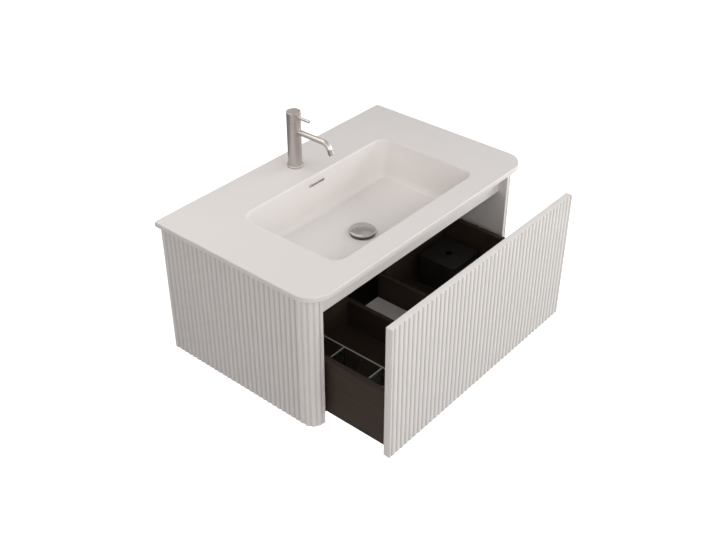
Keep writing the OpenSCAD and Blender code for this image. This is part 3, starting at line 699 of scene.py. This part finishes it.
def skin(name: str, rings: np.ndarray, looped: bool = False) -> bpy.types.Object:
    """Makes a closed mesh from rings of points.

    Point (i, j) joins (i, j+1), (i+1, j+1) and (i+1, j) in one face, where j wraps round.
    An open row of rings is closed with a fan from the middle of its first and last ring.
    The sum of v0 . (v1 x v2) over the triangles says whether the faces are turned round.

    Args:
        name: the object's name.
        rings: points of shape (rings, points, 3), in metres.
        looped: whether the last ring joins the first.

    Returns:
        The object.
    """
    count, around = rings.shape[:2]
    points = rings.reshape(-1, 3)
    rows = np.arange(count if looped else count - 1)[:, None]
    columns = np.arange(around)[None, :]
    after = (columns + 1) % around
    below, above = rows * around, ((rows + 1) % count) * around
    quads = np.stack(
        [below + columns, below + after, above + after, above + columns], -1
    ).reshape(-1, 4)
    faces = quads.tolist()
    fans = np.empty((0, 3), int)
    if not looped:
        middles = rings[[0, -1]].mean(1)
        base = (count - 1) * around
        j, k = columns[0], after[0]
        first = np.stack([k, j, np.full(around, len(points))], -1)
        last = np.stack([base + j, base + k, np.full(around, len(points) + 1)], -1)
        points = np.concatenate([points, middles])
        fans = np.concatenate([first, last])
        faces += fans.tolist()
    triangles = np.concatenate([quads[:, [0, 1, 2]], quads[:, [0, 2, 3]], fans])
    corners = points[triangles]
    volume = np.einsum("ij,ij->", corners[:, 0], np.cross(corners[:, 1], corners[:, 2]))
    if volume < 0:
        faces = [face[::-1] for face in faces]
    mesh = bpy.data.meshes.new(name)
    mesh.from_pydata(points.tolist(), [], faces)
    return finish_mesh(name, mesh)


def rounded_profile(corners: np.ndarray, radii: np.ndarray) -> np.ndarray:
    """Rounds the corners of a closed outline.

    At a corner with unit directions u and v to its neighbours and an angle a between them,
    the arc's centre lies at corner + (u + v)/|u + v| * r / sin(a/2), and the arc turns from
    one touching point to the other at a constant rate.

    Args:
        corners: points of shape (corners, 2).
        radii: radius at each corner, above 0.

    Returns:
        Points of shape (corners * ARC_STEPS, 2).
    """
    u = np.roll(corners, 1, 0) - corners
    v = np.roll(corners, -1, 0) - corners
    u /= np.linalg.norm(u, axis=1, keepdims=True)
    v /= np.linalg.norm(v, axis=1, keepdims=True)
    half = np.arccos(np.clip((u * v).sum(1), -1, 1)) / 2
    middle = u + v
    middle /= np.linalg.norm(middle, axis=1, keepdims=True)
    centre = corners + middle * (radii / np.sin(half))[:, None]
    start = corners + u * (radii / np.tan(half))[:, None] - centre
    end = corners + v * (radii / np.tan(half))[:, None] - centre
    turn = (math.pi - 2 * half)[:, None, None]
    t = np.linspace(0.0, 1.0, ARC_STEPS)[None, :, None]
    arcs = (
        np.sin((1 - t) * turn) * start[:, None] + np.sin(t * turn) * end[:, None]
    ) / np.sin(turn)
    return (centre[:, None] + arcs).reshape(-1, 2)


def turned(profile: np.ndarray, node: str) -> np.ndarray:
    """Turns a profile round the vertical: (x + r cos t, y + r sin t, z + h).

    Args:
        profile: points (r, h).
        node: CAD node whose middle gives x and y, and whose lower face gives z.

    Returns:
        Rings of shape (profile points, TURN_STEPS, 3).
    """
    low, high = node_box(node)
    x, y = (low[:2] + high[:2]) / 2
    t = np.linspace(0.0, 2 * math.pi, TURN_STEPS, endpoint=False)
    r, h = profile[:, :1], profile[:, 1:]
    return np.stack(
        [x + r * np.cos(t), y + r * np.sin(t), low[2] + h + np.zeros_like(t)], -1
    )


# ---------------------------------------------------------------- reeded boards

EDGE_ANGLES = np.linspace(0.0, math.pi / 2, 4)  # over a board's rounded edge
END_SHRINK = 0.995  # share of its radius that an end's edge closes in by
END_ROOM = 1.05  # radii of an end in which a board has no other stations


def board_section() -> tuple[np.ndarray, np.ndarray]:
    """Corner signs and arc directions of a rounded rectangle.

    Returns:
        The corner of each point as (-1 or 1, -1 or 1), and its unit direction, both of
        shape (4 * edge angles, 2), counted round the section.
    """
    signs = np.array([[1, 1], [-1, 1], [-1, -1], [1, -1]], float)
    angles = np.arange(4)[:, None] * math.pi / 2 + EDGE_ANGLES[None, :]
    direction = np.stack([np.cos(angles), np.sin(angles)], -1).reshape(-1, 2)
    return np.repeat(signs, EDGE_ANGLES.size, 0), direction


def plan_board(
    outer: np.ndarray, inner: np.ndarray, low: float, high: float, radius: float
) -> np.ndarray:
    """Rings of an upright board between two lines in plan, with rounded edges.

    Ring s is a rounded rectangle between outer(s) and inner(s) in plan and between low and
    high. At the two ends the section shrinks by e = r (1 - cos a) on each side, while it
    moves in from the end by r (1 - sin a), which rounds the end edges as well.

    Args:
        outer: points of the front line in plan, of shape (stations, 2).
        inner: points of the back line, opposite them.
        low: height of the lower edge.
        high: height of the upper edge.
        radius: rounding of every edge.

    Returns:
        Rings of shape (stations, points, 3).
    """
    shrunk = END_SHRINK * radius * (1 - np.cos(EDGE_ANGLES))
    ahead = radius * (1 - np.sin(EDGE_ANGLES))
    length = np.concatenate(
        [[0], np.cumsum(np.linalg.norm(np.diff(inner, axis=0), axis=1))]
    )
    room = END_ROOM * radius
    inside = (length > room) & (length < length[-1] - room)
    places = np.concatenate([ahead[::-1], length[inside], length[-1] - ahead])
    shrink = np.concatenate([shrunk[::-1], np.zeros(inside.sum()), shrunk])

    def along(points: np.ndarray) -> np.ndarray:
        """Points of a line at the stations' places, by their share of its length."""
        return np.stack([np.interp(places, length, points[:, i]) for i in (0, 1)], -1)

    front, back = along(outer), along(inner)
    middle, reach = (front + back) / 2, (front - back) / 2
    depth = np.linalg.norm(reach, axis=1, keepdims=True)
    signs, direction = board_section()
    r = radius - shrink[:, None]
    d = signs[:, 0] * (depth - radius) + r * direction[:, 0]
    z = (low + high) / 2 + (
        signs[:, 1] * ((high - low) / 2 - radius) + r * direction[:, 1]
    )
    plan = middle[:, None] + (reach / depth)[:, None] * d[..., None]
    return np.concatenate([plan, z[..., None]], -1)


def reed_lines(
    width: float, reeds: int, height: float, steps: int, halved: bool = False
) -> np.ndarray:
    """Front line of a reeded board, as (place along it, height over the valleys).

    Over reed i the height at a distance d from its middle is h - R + sqrt(R^2 - d^2), where
    R = p^2 / 8h + h / 2 for a pitch p.

    Args:
        width: length of the line.
        reeds: number of reeds.
        height: height h of the reeds.
        steps: points on each reed, an even number.
        halved: whether the line starts and ends in the middle of a reed.

    Returns:
        Points of shape (reeds * steps + 1, 2).
    """
    pitch = width / reeds
    radius = pitch**2 / (8 * height) + height / 2
    place_along = np.linspace(0.0, width, reeds * steps + 1)
    first = steps // 2 if halved else 0
    away = ((np.arange(place_along.size) + first) % steps) / steps * pitch - pitch / 2
    return np.stack([place_along, height - radius + np.sqrt(radius**2 - away**2)], -1)


def paint_groove_shade(obj: bpy.types.Object, height: float, edge: float = 0.0) -> None:
    """Writes on each point how deep it lies in a groove, as the share of painted shade that
    the lacquer puts there.

    The depth is the distance in plan to the convex hull of the outline, 0 on the hull and
    1 at the reeds' height and deeper. It fades out over the rounding of the lower and
    upper edge, so that the ends of the reeds stay plain.

    Args:
        obj: an upright reeded piece.
        height: height of its reeds.
        edge: rounding of the lower and upper edge, or 0 for no fading.
    """
    points = mesh_points(obj.data).astype(float)
    plan, z = points[:, :2], points[:, 2]
    places = np.unique(plan.round(DECIMALS), axis=0)
    hull = places[convex_hull_2d([Vector(point) for point in places])]
    side = np.roll(hull, -1, axis=0) - hull
    normal = np.stack([side[:, 1], -side[:, 0]], -1)
    normal /= np.linalg.norm(side, axis=1, keepdims=True)
    depth = np.abs(plan @ normal.T - (hull * normal).sum(1)).min(1)
    share = np.minimum(depth / height, 1.0)
    if edge > 0:
        share *= np.minimum(np.minimum(z - z.min(), z.max() - z) / edge, 1.0)
    # Painted shade: the share by which the lacquer is darkened at each point.
    groove_shade = obj.data.attributes.new(GROOVE_SHADE, "FLOAT", "POINT")
    groove_shade.data.foreach_set("value", share.astype(np.float32))


# ---------------------------------------------------------------- sub-assemblies


class Assembly:
    """What the sub-assemblies share: adding pieces to the object and reporting them."""

    def add(
        self, obj: bpy.types.Object, node: str, finish: Finish | None = None
    ) -> bpy.types.Object:
        """Dresses a piece, puts it in a CAD node's place and lets it ride on its body.

        Args:
            obj: the piece.
            node: the node that it stands for.
            finish: its finish, or None for that of the node's slot.

        Returns:
            The piece.
        """
        slot = SLOT_OF[node]
        WARDROBE.dress(obj, finish or Slot[slot].value)
        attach(obj, BODY_OF[node])
        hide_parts(node)
        LOG.info("%s: %s, %d faces", type(self).__name__, obj.name, len(obj.data.polygons))
        return obj

    def softened(
        self, node: str, width: float, segments: int = 2, finish: Finish | None = None
    ) -> bpy.types.Object:
        """A merged copy of a CAD node with its sharp edges broken.

        Args:
            node: the node.
            width: width of the broken edge.
            segments: faces across it.
            finish: its finish, or None for that of the node's slot.

        Returns:
            The piece.
        """
        source = frame["nodes"][node].data
        source.calc_loop_triangles()
        corners = np.empty(len(source.loop_triangles) * 3, np.int32)
        source.loop_triangles.foreach_get("vertices", corners)
        merged, where = np.unique(
            mesh_points(source).round(DECIMALS), axis=0, return_inverse=True
        )
        triangles = where.reshape(-1)[corners].reshape(-1, 3)
        whole = (triangles != np.roll(triangles, 1, 1)).all(1)
        mesh = bpy.data.meshes.new(node + "_soft")
        mesh.from_pydata(merged.tolist(), [], triangles[whole].tolist())
        obj = finish_mesh(node + "_soft", mesh)
        bevel = obj.modifiers.new("edges", "BEVEL")
        bevel.width = width
        bevel.segments = segments
        bevel.limit_method = "ANGLE"
        bevel.angle_limit = math.radians(BEVEL_ANGLE)
        bevel.harden_normals = True
        return self.add(obj, node, finish)


@dataclass
class ReededAssembly(Assembly):
    """A sub-assembly with reeded boards."""

    reed_height: float = 2.5 * MM
    reed_steps: int = 14
    edge: float = 0.5 * MM

    def reeds(self, width: float, count: int, halved: bool = False) -> np.ndarray:
        """Front line of one of its boards, by reed_lines."""
        return reed_lines(width, count, self.reed_height, self.reed_steps, halved)

    def reeded_board(self, node: str, outer: np.ndarray, inner: np.ndarray) -> None:
        """Upright board with shade painted into the lacquer in its grooves.

        Args:
            node: the CAD node that it stands for, which gives its height.
            outer: points of its reeded line in plan.
            inner: points of its plain line, opposite them.
        """
        low, high = node_box(node)
        rings = plan_board(outer, inner, low[2], high[2], self.edge)
        board = self.add(skin(node + "_reeded", rings), node)
        # Painted shade in the grooves, which the lacquer reads.
        paint_groove_shade(board, self.reed_height, self.edge)


@dataclass
class Basin(Assembly):
    """Overflow's ring and the click waste's cap. The moulded top stays the CAD's own."""

    cap_crown: float = 4.4 * MM
    cap_edge: float = 0.9 * MM
    cap_wall: float = 3.0 * MM
    cap_wall_edge: float = 0.3 * MM
    cap_inner_edge: float = 0.8 * MM
    cap_under: float = 0.4
    rim_start: float = 0.9
    crown_start: float = 0.02
    crown_end: float = 0.93
    crown_steps: int = 18
    ring_edge: float = 0.25 * MM

    def build(self) -> None:
        """Builds the pieces that stand for the waste cap and the overflow's ring."""
        self.waste_cap()
        self.softened("overflow_trim", self.ring_edge, finish=RING_METAL)

    def waste_cap(self) -> None:
        """Turned cap: height falls as crown * (r / R)^2 from the middle to a rounded rim.

        The rim's first corner only gives its neighbours a direction. Its own arc is left
        out, because the crown takes its place.
        """
        low, high = node_box("waste_cap")
        radius, height = (high[0] - low[0]) / 2, high[2] - low[2]
        share = np.linspace(self.crown_start, self.crown_end, self.crown_steps)
        crown = np.stack([share * radius, height - self.cap_crown * share**2], -1)
        rim_top = height - self.cap_crown
        inside, under = radius - self.cap_wall, height * self.cap_under
        rim = rounded_profile(
            np.array(
                [
                    [radius * self.rim_start, rim_top],
                    [radius, rim_top],
                    [radius, 0.0],
                    [inside, 0.0],
                    [inside, under],
                ]
            ),
            np.array(
                [
                    self.cap_edge,
                    self.cap_edge,
                    self.cap_wall_edge,
                    self.cap_wall_edge,
                    self.cap_inner_edge,
                ]
            ),
        )[ARC_STEPS:]
        middle = np.array([[self.crown_start * radius, under]])
        profile = np.concatenate([crown, rim, middle])
        cap = skin("waste_cap_turned", turned(profile, "waste_cap"))
        self.add(cap, "waste_cap", CAP_METAL)


@dataclass
class Tap(Assembly):
    """Pillar mixer: foot ring, body, bent spout, turning cap and lever pin."""

    edge: float = 0.35 * MM
    foot_edge: float = 1.4 * MM
    foot_base_edge: float = 0.15 * MM
    foot_bore_edge: float = 0.1 * MM
    foot_gap: float = 0.1 * MM

    def build(self) -> None:
        """Builds the visible pieces of the tap."""
        self.foot()
        for node in ("tap_body", "tap_cap", "tap_spout", "tap_lever"):
            self.softened(node, self.edge)
        # The aerator gets the darker nickel, painted shade for the spout's tip.
        self.softened("tap_aerator", self.edge, finish=PAINTED_SHADE_END_METAL)

    def foot(self) -> None:
        """Ring under the body with a rounded upper edge, which clears the shank."""
        low, high = node_box("tap_foot")
        shank_low, shank_high = node_box("tap_shank")
        outer, height = (high[0] - low[0]) / 2, high[2] - low[2]
        bore = (shank_high[0] - shank_low[0]) / 2 + self.foot_gap
        profile = rounded_profile(
            np.array([[bore, 0.0], [outer, 0.0], [outer, height], [bore, height]]),
            np.array(
                [
                    self.foot_bore_edge,
                    self.foot_base_edge,
                    self.foot_edge,
                    self.foot_bore_edge,
                ]
            ),
        )
        ring = skin("tap_foot_turned", turned(profile, "tap_foot"), looped=True)
        self.add(ring, "tap_foot")


@dataclass
class Cabinet(ReededAssembly):
    """Reeded side boards, rounded posts and the carcass between them."""

    side_reeds: int = 29
    post_edge: float = 0.4 * MM

    def build(self) -> None:
        """Builds the reeded boards and breaks the edges of the plain ones."""
        for node in ("cladding_left", "cladding_right"):
            self.side_board(node)
        for node in ("post_left", "post_right"):
            post = self.softened(node, self.post_edge, segments=1)
            # The posts' grooves get painted shade in the lacquer as well.
            paint_groove_shade(post, self.reed_height)
        for node in (
            "carcass_side_left",
            "carcass_side_right",
            "front_rail",
            "back_rail_upper",
            "back_rail_lower",
        ):
            self.softened(node, self.edge)
        # The inside panels get the near-black board, painted shade for the cabinet's dark
        # inside.
        for node in ("bottom_panel", "back_panel"):
            self.softened(node, self.edge, finish=PAINTED_SHADE_BOARD)

    def side_board(self, node: str) -> None:
        """Board with upright reeds, from the wall to the post.

        Args:
            node: the CAD node that it stands for.
        """
        low, high = node_box(node)
        sign = 1.0 if low[0] > 0 else -1.0
        face, back = (high[0], low[0]) if sign > 0 else (low[0], high[0])
        line = self.reeds(high[1] - low[1], self.side_reeds)
        y = low[1] + line[:, 0]
        outer = np.stack([face - sign * (self.reed_height - line[:, 1]), y], -1)
        inner = np.stack([np.full_like(y, back), y], -1)
        self.reeded_board(node, outer, inner)


@dataclass
class Drawer(ReededAssembly):
    """Reeded front, dark box, glass panes and the lidded box."""

    front_reeds: int = 45
    board_edge: float = 0.6 * MM
    glass_edge: float = 0.4 * MM

    def build(self) -> None:
        """Builds the drawer's pieces."""
        self.front()
        for node in (
            "drawer_side_left",
            "drawer_side_right",
            "drawer_back_left",
            "drawer_back_right",
            "drawer_floor",
            "bay_wall_left",
            "bay_wall_right",
        ):
            self.softened(node, self.board_edge)
        for node in ("tidy_box", "tidy_lid", "long_divider", "cross_dividers"):
            self.softened(node, self.glass_edge)

    def front(self) -> None:
        """Front board with upright reeds, which starts and ends in the middle of one."""
        low, high = node_box("drawer_front")
        line = self.reeds(high[0] - low[0], self.front_reeds, halved=True)
        x = low[0] + line[:, 0]
        outer = np.stack([x, low[1] + self.reed_height - line[:, 1]], -1)
        inner = np.stack([x, np.full_like(x, high[1])], -1)
        self.reeded_board("drawer_front", outer, inner)


# ---------------------------------------------------------------- the studio

LAMP_WHITE = (1.03, 1.0, 0.985)
LAMP_WARM = (1.05, 1.0, 0.975)
LAMP_COOL = (0.985, 1.0, 0.995)


def aim(
    obj: bpy.types.Object,
    target: Vector,
    azimuth: float,
    elevation: float,
    distance: float,
) -> None:
    """Places an object round a target with its -Z towards it and its Y upwards.

    Args:
        obj: a lamp or the camera.
        target: point that it faces.
        azimuth: degrees from the front towards the right.
        elevation: degrees above the horizontal.
        distance: distance from the target.
    """
    turn, rise = math.radians(azimuth), math.radians(elevation)
    back = Vector(
        (
            math.sin(turn) * math.cos(rise),
            -math.cos(turn) * math.cos(rise),
            math.sin(rise),
        )
    )
    obj.location = target + back * distance
    obj.rotation_euler = (-back).to_track_quat("-Z", "Y").to_euler()


@dataclass(frozen=True)
class Lamp:
    """Square soft light that faces the object.

    The azimuth is counted in degrees from the front towards the right, the level is the
    brightness of a white face square to the lamp, and the lengths are in metres.
    """

    name: str
    azimuth: float
    elevation: float
    level: float
    tint: Colour = LAMP_WHITE
    distance: float = 2.4
    size: float = 1.6

    def build(self, target: Vector) -> None:
        """Makes the lamp, with power = level * pi^2 * distance^2.

        Args:
            target: point that it faces.
        """
        data = bpy.data.lights.new(self.name, "AREA")
        data.shape = "SQUARE"
        data.size = self.size
        data.color = self.tint
        data.energy = self.level * math.pi**2 * self.distance**2
        obj = place(self.name, data)
        aim(obj, target, self.azimuth, self.elevation, self.distance)
        obj.visible_camera = False


@dataclass
class Studio:
    """Pale floor, soft lights and the camera."""

    floor_z: float = -0.66
    floor_size: float = 12.0
    floor_glow: float = 0.90
    floor_dark: Colour = (0.86, 0.86, 0.86)
    floor_light: Colour = (0.88, 0.88, 0.88)
    surround: float = 0.12
    ceiling: float = 0.44
    ceiling_start: float = 0.1
    ceiling_full: float = 0.6
    lamps: tuple[Lamp, ...] = (
        Lamp("right_graze", 68.0, 12.0, 0.69, tint=LAMP_COOL),
        Lamp("front", 0.0, 30.0, 0.28),
        Lamp("high", 10.0, 58.0, 0.125),
        Lamp("left", -56.0, 27.0, 0.245, tint=LAMP_WARM),
        Lamp("left_side", -95.0, 32.0, 0.08, tint=LAMP_WARM),
        Lamp("near", -145.0, 56.0, 0.20, distance=1.2, size=0.8),
        Lamp("behind", 180.0, 60.0, 0.09),
        Lamp("far", 100.0, 65.0, 0.03),
    )
    target: tuple[float, float, float] = (-0.0292, -0.2946, -0.0065)
    azimuth: float = -49.685
    elevation: float = 34.856
    distance: float = 2.4988
    focal_px: float = 1016.4
    width_px: int = 716
    sensor: float = 36.0

    def build(self) -> None:
        """Sets the colour handling and makes the surround, floor, lights and camera."""
        bpy.context.scene.view_settings.view_transform = "Standard"
        self.world()
        self.floor()
        for lamp in self.lamps:
            lamp.build(Vector(self.target))
        self.camera()

    def world(self) -> None:
        """Even surround, which camera and glass rays see as white.

        Mirror rays see it white as well, up to the height where a studio's dark ceiling
        would start: 1 for a direction up to z = ceiling_start, then down to the ceiling's
        level at ceiling_full.
        """
        world = bpy.data.worlds.new("surround")
        bpy.context.scene.world = world
        nodes = Nodes(world)
        way = nodes.add("ShaderNodeTexCoord").outputs["Object"]
        height = nodes.add("ShaderNodeSeparateXYZ", Vector=way).outputs["Z"]
        mirrored = nodes.span(
            height, 1.0, self.ceiling, self.ceiling_start, self.ceiling_full
        )
        path = nodes.add("ShaderNodeLightPath")
        level = self.surround
        for ray, seen in (
            ("Is Glossy Ray", mirrored),
            ("Is Transmission Ray", 1.0),
            ("Is Camera Ray", 1.0),
        ):
            pick = nodes.add("ShaderNodeMix", Factor=path.outputs[ray], A=level, B=seen)
            level = pick.outputs["Result"]
        sky = nodes.add("ShaderNodeBackground", Color=(1.0, 1.0, 1.0, 1.0), Strength=level)
        nodes.add("ShaderNodeOutputWorld", Surface=sky.outputs["Background"])

    def floor(self) -> None:
        """Flat floor, lit by itself for camera rays so far that it meets the white.

        From below nothing of it shows, so that it doesn't hide the object's underside.
        """
        half = self.floor_size / 2
        corners = np.array([[-1, -1], [1, -1], [1, 1], [-1, 1]]) * half
        points = np.concatenate([corners, np.full((4, 1), self.floor_z)], 1)
        mesh = bpy.data.meshes.new("floor")
        mesh.from_pydata(points.tolist(), [], [[0, 1, 2, 3]])
        obj = place("floor", mesh)
        sheet = NodeSheet("floor_paint")
        sheet.surface(
            sheet.blend(sheet.noise(scale=3.0), self.floor_dark, self.floor_light),
            sheet.span(sheet.noise(scale=20.0), 0.8, 0.9),
        )
        seen = sheet.add("ShaderNodeLightPath").outputs["Is Camera Ray"]
        level = sheet.add("ShaderNodeMath", seen, self.floor_glow)
        level.operation = "MULTIPLY"
        glow = sheet.add("ShaderNodeEmission", Strength=level.outputs[0])
        paint = sheet.add(
            "ShaderNodeAddShader", sheet.shader.outputs["BSDF"], glow.outputs[0]
        )
        below = sheet.add("ShaderNodeNewGeometry").outputs["Backfacing"]
        sheet.divide(below, paint, sheet.add("ShaderNodeBsdfTransparent"))
        mesh.materials.append(sheet.material)

    def camera(self) -> None:
        """Camera at the photograph's angle, with its focal length from pixels."""
        data = bpy.data.cameras.new("camera")
        data.sensor_width = self.sensor
        data.lens = self.focal_px * self.sensor / self.width_px
        obj = place("camera", data)
        aim(obj, Vector(self.target), self.azimuth, self.elevation, self.distance)
        bpy.context.scene.camera = obj


def main() -> None:
    """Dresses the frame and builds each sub-assembly in order."""
    logging.basicConfig(level=logging.INFO, format="%(message)s")
    WARDROBE.dress_frame()
    for assembly in (Basin(), Tap(), Cabinet(), Drawer()):
        assembly.build()
    Studio().build()
    bpy.context.view_layer.update()


if __name__ == "__main__":
    main()
